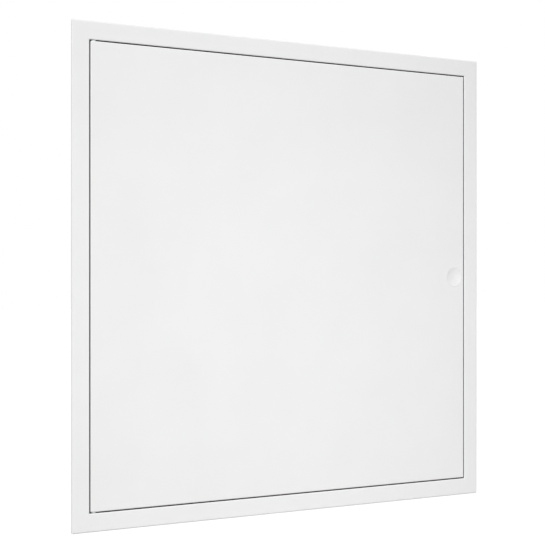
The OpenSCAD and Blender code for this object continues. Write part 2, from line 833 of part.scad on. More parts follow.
cam_screw();
latch_cap();
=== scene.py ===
"""Finishes, welds, fasteners, spring and studio for a flush ceiling access panel."""

import json
import math

import bpy
import numpy as np
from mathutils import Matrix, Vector


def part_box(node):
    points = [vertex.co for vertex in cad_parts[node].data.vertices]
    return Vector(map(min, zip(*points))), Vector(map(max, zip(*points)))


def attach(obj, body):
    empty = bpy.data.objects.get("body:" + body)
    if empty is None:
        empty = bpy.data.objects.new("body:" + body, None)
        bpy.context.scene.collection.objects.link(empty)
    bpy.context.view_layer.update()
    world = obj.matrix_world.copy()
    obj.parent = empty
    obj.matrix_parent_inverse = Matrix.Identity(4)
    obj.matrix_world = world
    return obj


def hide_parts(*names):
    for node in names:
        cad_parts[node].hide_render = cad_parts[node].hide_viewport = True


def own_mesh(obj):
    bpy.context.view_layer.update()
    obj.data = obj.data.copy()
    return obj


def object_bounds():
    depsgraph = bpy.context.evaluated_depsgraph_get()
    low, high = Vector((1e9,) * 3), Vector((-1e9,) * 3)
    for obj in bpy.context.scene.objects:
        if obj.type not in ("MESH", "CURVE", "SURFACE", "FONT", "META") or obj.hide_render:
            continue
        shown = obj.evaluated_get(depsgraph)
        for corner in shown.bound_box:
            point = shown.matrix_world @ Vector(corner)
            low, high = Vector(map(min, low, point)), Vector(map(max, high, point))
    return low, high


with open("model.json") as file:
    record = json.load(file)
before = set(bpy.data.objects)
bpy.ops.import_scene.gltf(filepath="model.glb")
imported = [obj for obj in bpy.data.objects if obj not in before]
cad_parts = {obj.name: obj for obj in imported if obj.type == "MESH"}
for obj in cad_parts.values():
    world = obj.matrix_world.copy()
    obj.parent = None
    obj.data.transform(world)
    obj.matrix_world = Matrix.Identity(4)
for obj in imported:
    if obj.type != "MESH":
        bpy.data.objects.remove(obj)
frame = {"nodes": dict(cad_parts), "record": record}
CAD_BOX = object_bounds()

bl_info = {
    "name": "Ceiling Access Panel",
    "version": (1, 0, 0),
    "blender": (4, 5, 0),
    "location": "3D View > Sidebar > Access Panel",
    "description": "Finishes a flush ceiling access panel and sets it in a white studio",
    "category": "Object",
}

MM = 0.001
# Unit vectors of the frame: +X to the latch, +Y back through the opening, +Z up
X, Y, Z = np.eye(3)
# The four walls of the frame: the direction out through the wall, and the direction along it
WALLS = {"top": (Z, X), "lock_side": (X, -Z), "bottom": (-Z, -X), "hinge_side": (-X, Z)}
# Faces that meet at more than this angle keep a sharp edge
SHARP = math.radians(38)
FULL_TURN = 2 * math.pi
# Beam of a light with no grid in front of it
OPEN_BEAM = math.pi
WHITE = (1.0, 1.0, 1.0, 1.0)


def linear(hex_colour):
    """Turns an sRGB hex colour into linear red, green and blue."""
    shares = [int(hex_colour[i:i + 2], 16) / 255 for i in (1, 3, 5)]
    return tuple(c / 12.92 if c <= 0.04045 else ((c + 0.055) / 1.055) ** 2.4 for c in shares)


def length(name, millimetres, description):
    """A length setting, given in millimetres and held in metres."""
    return bpy.props.FloatProperty(
        name=name, description=description, default=millimetres * MM, precision=5, unit="LENGTH")


def colour(name, hex_colour, description):
    """A colour setting, given as sRGB hex and held as linear."""
    return bpy.props.FloatVectorProperty(
        name=name, description=description, default=linear(hex_colour), min=0.0, max=1.0, subtype="COLOR")


def place(name, metres, description):
    """A point in the panel's frame, in metres."""
    return bpy.props.FloatVectorProperty(
        name=name, description=description, default=metres, precision=4, subtype="XYZ", unit="LENGTH")


class PanelSizes(bpy.types.PropertyGroup):
    """Sizes of the pieces that are added to the pressed and turned parts."""

    frame_sheet: length("Frame sheet", 1.2, "Thickness of the frame's and the stops' sheet")
    hem_w: length("Hem return", 9.0, "Width of the hem's return behind the flange")
    foot_sheet: length("Stiffener sheet", 1.0, "Thickness of the stiffeners' sheet")
    foot_w: length("Stiffener foot", 14.0, "Width of each foot of a stiffener")
    guide_sheet: length("Guide sheet", 2.0, "Thickness of the pin guide's sheet")
    bead_w: length("Weld width", 3.4, "Width of the weld beads in the frame's corners")
    bead_rise: length("Weld rise", 0.9, "Height of the weld beads")
    bead_ripple: length("Weld ripple", 1.3, "Distance between the ripples of a bead")
    spot_d: length("Spot weld", 6.0, "Diameter of the mark that a spot weld leaves")
    spot_rise: length("Spot weld rim", 0.18, "Height of the rim round a spot weld")
    spot_pitch: length("Spot weld pitch", 72.0, "Distance between spot welds along a seam")
    rivet_d: length("Rivet", 4.0, "Diameter of the blind rivets")
    rivet_inset: length("Rivet inset", 16.0, "Distance of the first rivet from the cleat's corner")
    rivet_pitch: length("Rivet pitch", 16.0, "Distance between the two rivets in a leg")
    wire_d: length("Spring wire", 0.7, "Diameter of the pin spring's wire")
    spring_turns: bpy.props.IntProperty(
        name="Spring turns", description="Turns of the pin spring, with its two closed ends",
        default=10, min=4)
    thread_pitch: length("Stud thread", 0.7, "Pitch of the weld studs' thread")
    nut_af: length("Nut", 7.0, "Width of the latch nuts across their flats")


class PanelColours(bpy.types.PropertyGroup):
    """Colours of the materials."""

    coat: colour("Powder coat", "#F2F2F2", "White powder coat on the door and frame")
    coat_cloud: colour("Powder coat cloud", "#F0F0F0", "The powder coat where it clouds")
    # Painted shade: this dark grey is mixed into the coat's colour in narrow gaps and tight corners, where
    # shade falls
    painted_gap_shade: colour("Powder coat in gaps", "#3C3C3C", "The powder coat under the dust in a narrow gap")
    spangle_light: colour("Zinc spangle, light", "#C9CDD0", "Bright crystals of the galvanised cleats")
    spangle_dark: colour("Zinc spangle, dark", "#9DA2A6", "Dull crystals of the galvanised cleats")
    zinc_light: colour("Zinc plate, light", "#D6D8DA", "Bright zinc plating")
    zinc_dark: colour("Zinc plate, dark", "#B4B8BD", "Zinc plating where it is handled")
    wire_light: colour("Spring wire, light", "#97989A", "Drawn spring wire")
    wire_dark: colour("Spring wire, dark", "#6C6D70", "Oil and drawing marks on the wire")
    rubber: colour("Rubber", "#1A1A1B", "Black seal rubber")
    rubber_bloom: colour("Rubber bloom", "#2B2B2C", "Pale bloom on the seal rubber")
    nylon: colour("Nylon", "#EFEEEA", "Natural nylon of the bushes")
    nylon_cloud: colour("Nylon cloud", "#E6E5E0", "Natural nylon where it flowed last")
    housing: colour("Housing", "#2C2E31", "Dark glass-filled nylon of the latch housing")
    housing_fibre: colour("Housing fibre", "#3E4145", "Glass fibres that show at the housing's surface")
    cap: colour("Cap", "#F2F2F2", "White moulded cap over the latch")
    cap_cloud: colour("Cap cloud", "#F0F0F0", "The cap where it flowed last")
    floor: colour("Floor", "#B4B4B4", "Pale studio floor")


class PanelStudio(bpy.types.PropertyGroup):
    """Camera, floor and lights."""

    camera_place: place("Camera", (-0.955, -1.577, -0.005), "Where the camera stands")
    camera_turn: bpy.props.FloatProperty(
        name="Camera turn", description="Turn of the level camera about Z",
        default=math.radians(-30.4), subtype="ANGLE")
    camera_lens: bpy.props.FloatProperty(
        name="Lens", description="Focal length on a 36 mm sensor", default=87.9, unit="CAMERA")
    camera_shift: bpy.props.FloatProperty(
        name="Shift", description="Upward shift of the camera, as a share of the picture",
        default=0.0147, precision=4)
    floor_drop: length("Floor drop", 400.0, "Height of the hanging panel above the floor")
    floor_w: length("Floor width", 60000.0, "Width of the floor")
    glow_near: bpy.props.FloatProperty(
        name="Glow near", description="Light added to the floor under the panel, where it is seen",
        default=0.58)
    glow_far: bpy.props.FloatProperty(
        name="Glow far", description="Light added to the floor past the lights' beams, where it is seen",
        default=0.85)
    pool_near: length("Light pool", 900.0, "Distance from the panel at which the beams begin to fade")
    pool_far: length("Pool's edge", 2300.0, "Distance from the panel at which the beams end")
    ambient: bpy.props.FloatProperty(
        name="Ambient", description="Strength of the even light from all round", default=0.28)
    key_place: place("Key light", (-2.8, -2.8, 4.0), "Where the key light stands")
    key_w: length("Key width", 2000.0, "Width of the key light")
    key_power: bpy.props.FloatProperty(
        name="Key power", description="Power of the key light", default=14.7, unit="POWER")
    fill_place: place("Fill light", (0.0, -1.25, -0.05), "Where the fill light stands, before the panel")
    fill_w: length("Fill width", 600.0, "Width of the fill light")
    fill_power: bpy.props.FloatProperty(
        name="Fill power", description="Power of the fill light", default=5.58, unit="POWER")
    back_place: place("Back light", (2.6, 3.0, 1.0), "Where the light behind the panel stands")
    back_w: length("Back width", 1000.0, "Width of the light behind the panel")
    back_power: bpy.props.FloatProperty(
        name="Back power", description="Power of the light behind the panel", default=6.5, unit="POWER")
    grid_beam: bpy.props.FloatProperty(
        name="Beam", description="Angle of the key's and the back light's beam, which a grid narrows",
        default=math.radians(40), subtype="ANGLE")


def add_node(tree, kind, inputs=None, links=None, **settings):
    """Adds a node of one kind with its settings, its sockets' values and the outputs that feed it."""
    node = tree.nodes.new(kind)
    for name, value in settings.items():
        setattr(node, name, value)
    for socket, value in (inputs or {}).items():
        node.inputs[socket].default_value = value
    for socket, output in (links or {}).items():
        tree.links.new(output, node.inputs[socket])
    return node


def new_material(name, **shader_inputs):
    """A new material, its node tree and its shader, with constants set on the shader's own sockets."""
    material = bpy.data.materials.new(name)
    material.use_nodes = True
    shader = material.node_tree.nodes["Principled BSDF"]
    for socket, value in shader_inputs.items():
        shader.inputs[socket.replace("_", " ")].default_value = value
    return material, material.node_tree, shader


def surface(tree, shader, patches, skin, shades, rough, relief_mm, spread=(0.3, 0.7)):
    """Carries the shader from one shade and roughness to the other as patches cross spread.

    The light on it bends as if skin were a relief of relief_mm. Returns the output that holds
    the colour.
    """
    share = add_node(
        tree, "ShaderNodeMapRange", {"From Min": spread[0], "From Max": spread[1]}, {"Value": patches})
    first, second = ((*shade, 1.0) for shade in shades)
    mix = add_node(
        tree, "ShaderNodeMix", {"A": first, "B": second}, {"Factor": share.outputs["Result"]},
        data_type="RGBA")
    gloss = add_node(
        tree, "ShaderNodeMapRange", {"To Min": rough[0], "To Max": rough[1]},
        {"Value": share.outputs["Result"]})
    bump = add_node(tree, "ShaderNodeBump", {"Distance": relief_mm * MM}, {"Height": skin})
    tree.links.new(mix.outputs["Result"], shader.inputs["Base Color"])
    tree.links.new(gloss.outputs["Result"], shader.inputs["Roughness"])
    tree.links.new(bump.outputs["Normal"], shader.inputs["Normal"])
    return mix.outputs["Result"]


def powder_coat(colours):
    """White polyester powder, sprayed on pressed steel and stoved.

    It is a satin white that clouds very slightly over a hand's width, with a faint orange peel where
    the powder flowed. The peel is about 1 mm across on the real coat, and is drawn at 2 mm so that it
    shows. Where faces within 6 mm close it in, in narrow gaps and tight corners, the coat's colour is
    painted grey as shade.
    """
    material, tree, shader = new_material("white_powder_coat", IOR=1.5)
    point = add_node(tree, "ShaderNodeTexCoord").outputs["Object"]
    cloud = add_node(tree, "ShaderNodeTexNoise", {"Scale": 1 / (90 * MM), "Detail": 3.0}, {"Vector": point})
    peel = add_node(tree, "ShaderNodeTexNoise", {"Scale": 1 / (2 * MM), "Detail": 1.0}, {"Vector": point})
    coat = surface(
        tree, shader, cloud.outputs["Fac"], peel.outputs["Fac"], (colours.coat, colours.coat_cloud),
        rough=(0.58, 0.66), relief_mm=0.014)
    # Painted shade: ambient occlusion over 6 mm greys the coat's colour, fully below 0.2 and not at all above
    # 0.6
    full_shade_ao, no_shade_ao = 0.2, 0.6
    room = add_node(tree, "ShaderNodeAmbientOcclusion", {"Distance": 6 * MM}, samples=8)
    unshaded_share = add_node(
        tree, "ShaderNodeMapRange", {"From Min": full_shade_ao, "From Max": no_shade_ao}, {"Value": room.outputs["AO"]})
    # The painted shade is mixed into the coat's base colour
    shaded_coat = add_node(
        tree, "ShaderNodeMix", {"A": (*colours.painted_gap_shade, 1.0)},
        {"Factor": unshaded_share.outputs["Result"], "B": coat}, data_type="RGBA")
    tree.links.new(shaded_coat.outputs["Result"], shader.inputs["Base Color"])
    return material


def galvanised_steel(colours):
    """Hot-dip galvanised sheet.

    The zinc froze into crystals about 9 mm across with ragged edges, each dull or bright as it lies.
    """
    material, tree, shader = new_material("galvanised_steel", Metallic=1.0)
    point = add_node(tree, "ShaderNodeTexCoord").outputs["Object"]
    ragged = add_node(tree, "ShaderNodeTexNoise", {"Scale": 1 / (3 * MM)}, {"Vector": point})
    stray = (4 * MM,) * 3
    shifted = add_node(
        tree, "ShaderNodeVectorMath", {1: stray}, {0: ragged.outputs["Color"], 2: point},
        operation="MULTIPLY_ADD")
    crystal = add_node(
        tree, "ShaderNodeTexVoronoi", {"Scale": 1 / (9 * MM)}, {"Vector": shifted.outputs["Vector"]})
    tone = add_node(tree, "ShaderNodeSeparateColor", links={"Color": crystal.outputs["Color"]})
    skin = add_node(tree, "ShaderNodeTexNoise", {"Scale": 1 / (1.2 * MM), "Detail": 3.0}, {"Vector": point})
    surface(tree, shader, tone.outputs["Red"], skin.outputs["Fac"],
            (colours.spangle_dark, colours.spangle_light),
            rough=(0.5, 0.3), relief_mm=0.008, spread=(0.0, 1.0))
    return material


def zinc_plate(colours):
    """Bright zinc plating on turned and pressed steel: a cool silver, duller where it is handled."""
    material, tree, shader = new_material("bright_zinc_plate", Metallic=1.0)
    point = add_node(tree, "ShaderNodeTexCoord").outputs["Object"]
    handled = add_node(tree, "ShaderNodeTexNoise", {"Scale": 1 / (5 * MM), "Detail": 5.0}, {"Vector": point})
    skin = add_node(tree, "ShaderNodeTexNoise", {"Scale": 1 / (0.6 * MM), "Detail": 3.0}, {"Vector": point})
    surface(tree, shader, handled.outputs["Fac"], skin.outputs["Fac"],
            (colours.zinc_light, colours.zinc_dark), rough=(0.2, 0.36), relief_mm=0.004)
    return material


def spring_wire(colours):
    """Drawn spring steel: a darker grey, with drawing marks and a trace of oil."""
    material, tree, shader = new_material("drawn_spring_wire", Metallic=1.0)
    point = add_node(tree, "ShaderNodeTexCoord").outputs["Object"]
    oil = add_node(tree, "ShaderNodeTexNoise", {"Scale": 1 / (1.5 * MM), "Detail": 4.0}, {"Vector": point})
    marks = add_node(tree, "ShaderNodeTexNoise", {"Scale": 1 / (0.2 * MM), "Detail": 2.0}, {"Vector": point})
    surface(tree, shader, oil.outputs["Fac"], marks.outputs["Fac"],
            (colours.wire_light, colours.wire_dark), rough=(0.26, 0.42), relief_mm=0.002)
    return material


def seal_rubber(colours):
    """Extruded EPDM rubber: matt black with a pale bloom and a fine dry skin.

    The skin's grain is drawn at 0.8 mm so that it shows.
    """
    material, tree, shader = new_material("epdm_rubber", IOR=1.52)
    point = add_node(tree, "ShaderNodeTexCoord").outputs["Object"]
    bloom = add_node(tree, "ShaderNodeTexNoise", {"Scale": 1 / (12 * MM), "Detail": 3.0}, {"Vector": point})
    skin = add_node(tree, "ShaderNodeTexNoise", {"Scale": 1 / (0.8 * MM), "Detail": 3.0}, {"Vector": point})
    surface(tree, shader, bloom.outputs["Fac"], skin.outputs["Fac"],
            (colours.rubber, colours.rubber_bloom), rough=(0.62, 0.8), relief_mm=0.02)
    return material


def natural_nylon(colours):
    """Moulded natural nylon: milky, slightly translucent and smooth."""
    material, tree, shader = new_material(
        "natural_nylon", IOR=1.53, Subsurface_Weight=0.2, Subsurface_Scale=1.5 * MM)
    point = add_node(tree, "ShaderNodeTexCoord").outputs["Object"]
    flow = add_node(tree, "ShaderNodeTexNoise", {"Scale": 1 / (4 * MM), "Detail": 3.0}, {"Vector": point})
    skin = add_node(tree, "ShaderNodeTexNoise", {"Scale": 1 / (0.5 * MM), "Detail": 3.0}, {"Vector": point})
    surface(tree, shader, flow.outputs["Fac"], skin.outputs["Fac"],
            (colours.nylon, colours.nylon_cloud), rough=(0.36, 0.46), relief_mm=0.003)
    return material


def glass_filled_nylon(colours):
    """Glass-filled nylon from a spark-eroded mould: dark and matt, with pale fibre swirls and a grain."""
    material, tree, shader = new_material("glass_filled_nylon", IOR=1.53)
    point = add_node(tree, "ShaderNodeTexCoord").outputs["Object"]
    fibres = add_node(tree, "ShaderNodeTexNoise", {"Scale": 1 / (2.5 * MM), "Detail": 8.0}, {"Vector": point})
    spark = add_node(tree, "ShaderNodeTexNoise", {"Scale": 1 / (0.5 * MM), "Detail": 3.0}, {"Vector": point})
    surface(tree, shader, fibres.outputs["Fac"], spark.outputs["Fac"],
            (colours.housing, colours.housing_fibre), rough=(0.46, 0.6), relief_mm=0.02)
    return material


def cap_plastic(colours):
    """Moulded ABS made to match the powder coat: a smooth satin white."""
    material, tree, shader = new_material("white_abs", IOR=1.54)
    point = add_node(tree, "ShaderNodeTexCoord").outputs["Object"]
    flow = add_node(tree, "ShaderNodeTexNoise", {"Scale": 1 / (18 * MM), "Detail": 3.0}, {"Vector": point})
    skin = add_node(tree, "ShaderNodeTexNoise", {"Scale": 1 / (0.9 * MM), "Detail": 3.0}, {"Vector": point})
    surface(tree, shader, flow.outputs["Fac"], skin.outputs["Fac"],
            (colours.cap, colours.cap_cloud), rough=(0.54, 0.62), relief_mm=0.003)
    return material


# What makes the material of each of the record's slots
FINISHES = {
    "powder_coat": powder_coat,
    "galvanised_steel": galvanised_steel,
    "zinc_plate": zinc_plate,
    "spring_steel": spring_wire,
    "seal_rubber": seal_rubber,
    "nylon": natural_nylon,
    "latch_plastic": glass_filled_nylon,
    "cap_plastic": cap_plastic,
}
# The materials that are made so far, by slot
made = {}


def finish(slot, colours):
    """The material of one of the record's slots, made at its first use."""
    if slot not in made:
        made[slot] = FINISHES[slot](colours)
    return made[slot]


def closed_surface(name, grids, ring=False):
    """One object of closed surfaces, from grids of points: copies, rows, columns and x, y, z in metres.

    Each quad joins four neighbouring points. The columns always close on themselves. The rows close
    on themselves for a ring, and otherwise a flat face closes the first row and the last. A copy that
    would enclose a negative volume has its faces turned round, so that they all point outwards.
    """
    copies, rows, columns = grids.shape[:3]
    index = np.arange(rows * columns).reshape(rows, columns)
    here = index if ring else index[:-1]
    there = np.roll(index, -1, axis=0) if ring else index[1:]
    quads = np.stack([here, np.roll(here, -1, 1), np.roll(there, -1, 1), there], axis=-1).reshape(-1, 4)
    ends = np.stack([index[0][::-1], index[-1]])
    points = grids.reshape(copies, -1, 3)
    corner = (points - points.mean(axis=1, keepdims=True))[:, quads]
    triple = np.einsum("cfi,cfi->cf", corner[:, :, 0], np.cross(corner[:, :, 1], corner[:, :, 2]))
    triple += np.einsum("cfi,cfi->cf", corner[:, :, 0], np.cross(corner[:, :, 2], corner[:, :, 3]))
    inside_out = triple.sum(axis=1) < 0
    first = np.arange(copies)[:, None, None] * rows * columns
    faces = quads + first
    faces[inside_out] = faces[inside_out][:, :, ::-1]
    polygons = faces.reshape(-1, 4).tolist()
    if not ring:
        lids = ends + first
        lids[inside_out] = lids[inside_out][:, :, ::-1]
        polygons += lids.reshape(-1, columns).tolist()
    mesh = bpy.data.meshes.new(name)
    mesh.from_pydata(points.reshape(-1, 3), [], polygons)
    mesh.polygons.foreach_set("use_smooth", np.ones(len(polygons), dtype=bool))
    mesh.set_sharp_from_angle(angle=SHARP)
    if mesh.validate():
        raise RuntimeError(f"{name} has faces that do not close")
    piece = bpy.data.objects.new(name, mesh)
    bpy.context.scene.collection.objects.link(piece)
    return piece


def dress(piece, body, slot, colours):
    """Sets a new piece on its body and gives it the finish of a slot."""
    piece.data.materials.append(finish(slot, colours))
    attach(piece, body)


def turned(centres, axes, radius, height, columns):
    """Grids of turned surfaces: centre + radius * (cosine and sine of the angle) across + height * axis.

    radius and height are one value for each row, or one for each row and column where the shape isn't
    round. Each axis is one of the frame's own, so that rolling its parts by one place gives a direction
    across it.
    """
    angle = np.linspace(0, FULL_TURN, columns, endpoint=False)
    axes = np.broadcast_to(axes, centres.shape)
    across = np.roll(axes, 1, axis=1)[:, None, None]
    beside = np.cross(axes, np.roll(axes, 1, axis=1))[:, None, None]
    radius, height = (np.asarray(v).reshape(len(v), -1)[None, :, :, None] for v in (radius, height))
    spoke = np.cos(angle)[:, None] * across + np.sin(angle)[:, None] * beside
    return centres[:, None, None] + radius * spoke + height * axes[:, None, None]


def weld_bead(start, end, up, width, rise, ripple):
    """Grid of a weld bead: half an ellipse carried from start to end, with a flat bed.

    Along the bead the height climbs and drops back once a ripple, from a trough's share of the rise to
    all of it, and the drop is bowed by the square of the place across the bead, like a crescent. Width
    and height shrink to almost nothing at both ends along a root curve.
    """
    rows_per_ripple, columns = 7, 15
    tip, blunt, bow, trough = 0.004, 8, 0.6, 0.72
    run = np.linalg.norm(end - start)
    share = np.linspace(tip, 1 - tip, int(run / ripple * rows_per_ripple))[:, None]
    arc = np.linspace(0, math.pi, columns)[None, :]
    swell = np.sqrt(1 - np.abs(2 * share - 1) ** blunt)
    crescent = (share * run / ripple + bow * np.cos(arc) ** 2) % 1
    across = np.cross((end - start) / run, up)
    side = width / 2 * swell * np.cos(arc)
    lift = rise * swell * np.sin(arc) * (trough + (1 - trough) * crescent)
    middle = start + share[..., None] * (end - start)
    return (middle + side[..., None] * across + lift[..., None] * up)[None]


class ACCESSPANEL_OT_stage(bpy.types.Operator):
    """Set the camera, the pale floor, the white surroundings and the soft lights"""

    bl_idname = "access_panel.stage"
    bl_label = "Studio"

    def execute(self, context):
        """Makes everything that is not part of the panel."""
        studio = context.scene.access_panel_studio
        context.scene.view_settings.view_transform = "Standard"
        self.set_camera(context.scene, studio)
        self.lay_floor(context.scene, studio)
        self.light_surroundings(context.scene, studio)
        self.hang_light("key_light", studio.key_place, studio.key_w, studio.key_power, studio.grid_beam)
        self.hang_light("fill_light", studio.fill_place, studio.fill_w, studio.fill_power, OPEN_BEAM)
        self.hang_light("back_light", studio.back_place, studio.back_w, studio.back_power, studio.grid_beam)
        return {"FINISHED"}

    def set_camera(self, scene, studio):
        """A level camera, turned about Z only."""
        data = bpy.data.cameras.new("camera")
        data.lens = studio.camera_lens
        data.shift_y = studio.camera_shift
        camera = bpy.data.objects.new("camera", data)
        camera.location = studio.camera_place
        camera.rotation_euler = (math.pi / 2, 0, studio.camera_turn)
        scene.collection.objects.link(camera)
        scene.camera = camera

    def seen(self, tree):
        """1 for rays that show a surface, straight or by reflection or glass, and 0 for the rest."""
        path = add_node(tree, "ShaderNodeLightPath").outputs
        shown = path["Is Camera Ray"]
        for ray in ("Is Glossy Ray", "Is Transmission Ray"):
            either = add_node(tree, "ShaderNodeMath", links={0: shown, 1: path[ray]}, operation="MAXIMUM")
            shown = either.outputs[0]
        return shown

    def lay_floor(self, scene, studio):
        """A flat square floor, which glows a little where it is seen: it looks white and keeps its shadow.

        The lights' beams fade away from the panel, so there it glows more.
        """
        half = studio.floor_w / 2
        level = CAD_BOX[0].z - studio.floor_drop
        corners = [(-half, -half, level), (half, -half, level), (half, half, level), (-half, half, level)]
        mesh = bpy.data.meshes.new("studio_floor")
        mesh.from_pydata(corners, [], [(0, 1, 2, 3)])
        floor = bpy.data.objects.new("studio_floor", mesh)
        scene.collection.objects.link(floor)
        colours = scene.access_panel_colours
        material, tree, shader = new_material("matt_floor", Roughness=0.9)
        shader.inputs["Base Color"].default_value = (*colours.floor, 1.0)
        shader.inputs["Emission Color"].default_value = WHITE
        point = add_node(tree, "ShaderNodeTexCoord").outputs["Object"]
        away = add_node(tree, "ShaderNodeVectorMath", links={0: point}, operation="LENGTH")
        glow = add_node(
            tree, "ShaderNodeMapRange",
            {"From Min": studio.pool_near, "From Max": studio.pool_far, "To Min": studio.glow_near,
             "To Max": studio.glow_far}, {"Value": away.outputs["Value"]})
        shown = add_node(
            tree, "ShaderNodeMath", links={0: glow.outputs["Result"], 1: self.seen(tree)},
            operation="MULTIPLY")
        tree.links.new(shown.outputs[0], shader.inputs["Emission Strength"])
        # The glow is only seen and lights nothing, so no light is looked for there
        material.cycles.emission_sampling = "NONE"
        mesh.materials.append(material)

    def light_surroundings(self, scene, studio):
        """An even white all round: full where it is seen, and ambient where it lights the panel."""
        world = bpy.data.worlds.new("white_surroundings")
        world.use_nodes = True
        tree = world.node_tree
        sky = tree.nodes["Background"]
        sky.inputs["Color"].default_value = WHITE
        strength = add_node(
            tree, "ShaderNodeMapRange", {"To Min": studio.ambient, "To Max": 1.0},
            {"Value": self.seen(tree)})
        tree.links.new(strength.outputs["Result"], sky.inputs["Strength"])
        scene.world = world

    def hang_light(self, name, where, width, power, beam):
        """A square soft light that faces the panel's centre and doesn't show in the picture."""
        data = bpy.data.lights.new(name, "AREA")
        data.size = width
        data.energy = power
        data.spread = beam
        light = bpy.data.objects.new(name, data)
        light.location = where
        light.rotation_euler = (-Vector(where)).to_track_quat("-Z", "Y").to_euler()
        light.visible_camera = False
        bpy.context.scene.collection.objects.link(light)


class ACCESSPANEL_OT_finishes(bpy.types.Operator):
    """Give every pressed, turned and moulded part its own finish"""

    bl_idname = "access_panel.finishes"
    bl_label = "Finishes"

    def execute(self, context):
        """Puts the material of each part's slot on it."""
        colours = context.scene.access_panel_colours
        for part in frame["record"]["subparts"]:
            mesh = frame["nodes"][part["node"]].data
            mesh.materials.clear()
            mesh.materials.append(finish(part["material_slot"], colours))
        return {"FINISHED"}


class ACCESSPANEL_OT_weld_beads(bpy.types.Operator):
    """Lay weld beads over the mitres behind the flange and down the inside corners of the walls"""

    bl_idname = "access_panel.weld_beads"
    bl_label = "Weld beads"

    def execute(self, context):
        """One bead on the flange and a flatter one in the wall at each corner.

        They stop short of the cleat, the hem, the stop and the lip by shares of their own width.
        """
        sizes = context.scene.access_panel_sizes
        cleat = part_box("corner_cleat_lock_top")[1]
        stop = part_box("stop_angle_lock_side")[1]
        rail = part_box("frame_rail_lock_side")
        off_cleat, off_hem, off_stop, off_lip = np.array([0.5, 0.2, 0.3, 0.15]) * sizes.bead_w
        flange_back = rail[0].y + sizes.frame_sheet
        inner, outer = cleat.x + off_cleat, rail[1].x - sizes.hem_w - off_hem
        low, high = stop.y + off_stop, rail[1].y - sizes.frame_sheet - off_lip
        diagonal, wall_rise = math.sqrt(2), 0.5 * sizes.bead_rise
        flange, wall = [], []
        for right in (-1, 1):
            for top in (-1, 1):
                out = right * X + top * Z
                flange.append(weld_bead(inner * out + flange_back * Y, outer * out + flange_back * Y, Y,
                                        sizes.bead_w, sizes.bead_rise, sizes.bead_ripple))
                corner = (stop.x - sizes.bead_w / 2 / diagonal) * out
                wall.append(weld_bead(corner + low * Y, corner + high * Y, -out / diagonal,
                                      sizes.bead_w, wall_rise, sizes.bead_ripple))
        for name, beads in (("flange_weld_beads", flange), ("wall_weld_beads", wall)):
            piece = closed_surface(name, np.concatenate(beads))
            dress(piece, "frame", "powder_coat", context.scene.access_panel_colours)
        return {"FINISHED"}


class ACCESSPANEL_OT_spot_welds(bpy.types.Operator):
    """Press spot welds into the stops, the stiffeners' feet and the pin guide"""

    bl_idname = "access_panel.spot_welds"
    bl_label = "Spot welds"

    def execute(self, context):
        """Rows of spot welds, on the frame and on the door."""
        sizes = context.scene.access_panel_sizes
        colours = context.scene.access_panel_colours
        frame_welds = [self.marks(*self.stop_row(side, sizes), sizes) for side in WALLS]
        door_welds = [self.marks(*self.foot_rows(part, sizes), sizes)
                      for part in ("door_stiffener_upper", "door_stiffener_lower")]
        door_welds.append(self.marks(*self.guide_pair(sizes), sizes))
        seams = (("stop_spot_welds", "frame", frame_welds), ("door_spot_welds", "door", door_welds))
        for name, body, marks in seams:
            dress(closed_surface(name, np.concatenate(marks)), body, "powder_coat", colours)
        return {"FINISHED"}

    def marks(self, centres, up, sizes):
        """A shallow saucer with a raised rim at each centre: shrinking rings that rise, then dip."""
        ring = np.array([1.0, 0.93, 0.82, 0.68, 0.5, 0.25])
        lift = np.array([-0.2, 0.55, 1.0, 0.8, 0.25, 0.08])
        return turned(centres, up, sizes.spot_d / 2 * ring, sizes.spot_rise * lift, columns=18)

    def spaced(self, half, sizes):
        """Places along a seam that runs from -half to half, a pitch apart or a little less."""
        last = half - 0.3 * sizes.spot_pitch
        count = math.ceil(2 * last / sizes.spot_pitch) + 1
        return np.linspace(-last, last, count)

    def stop_row(self, side, sizes):
        """Welds along the middle of a stop's leg, on its face towards the opening."""
        out, along = WALLS[side]
        low, high = (np.array(v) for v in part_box(f"stop_angle_{side}"))
        reach = np.abs(np.stack([low, high]) @ out).max() - sizes.frame_sheet
        depth = (low[1] + sizes.frame_sheet + high[1]) / 2
        steps = self.spaced((high - low) @ np.abs(along) / 2, sizes)
        return reach * out + depth * Y + steps[:, None] * along, -out

    def foot_rows(self, part, sizes):
        """Welds along both feet of a stiffener, on their back."""
        low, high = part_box(part)
        steps = self.spaced(high.x, sizes)
        back = (low.y + sizes.foot_sheet) * Y
        inset = 0.45 * sizes.foot_w
        rows = [back + z * Z + steps[:, None] * X for z in (low.z + inset, high.z - inset)]
        return np.concatenate(rows), Y

    def guide_pair(self, sizes):
        """Two welds on the flat base of the pin guide."""
        low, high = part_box("pin_guide")
        heights = np.array([0.3, 0.7]) * (high.z - low.z) + low.z
        return (high.x - sizes.spot_d) * X + (low.y + sizes.guide_sheet) * Y + heights[:, None] * Z, Y


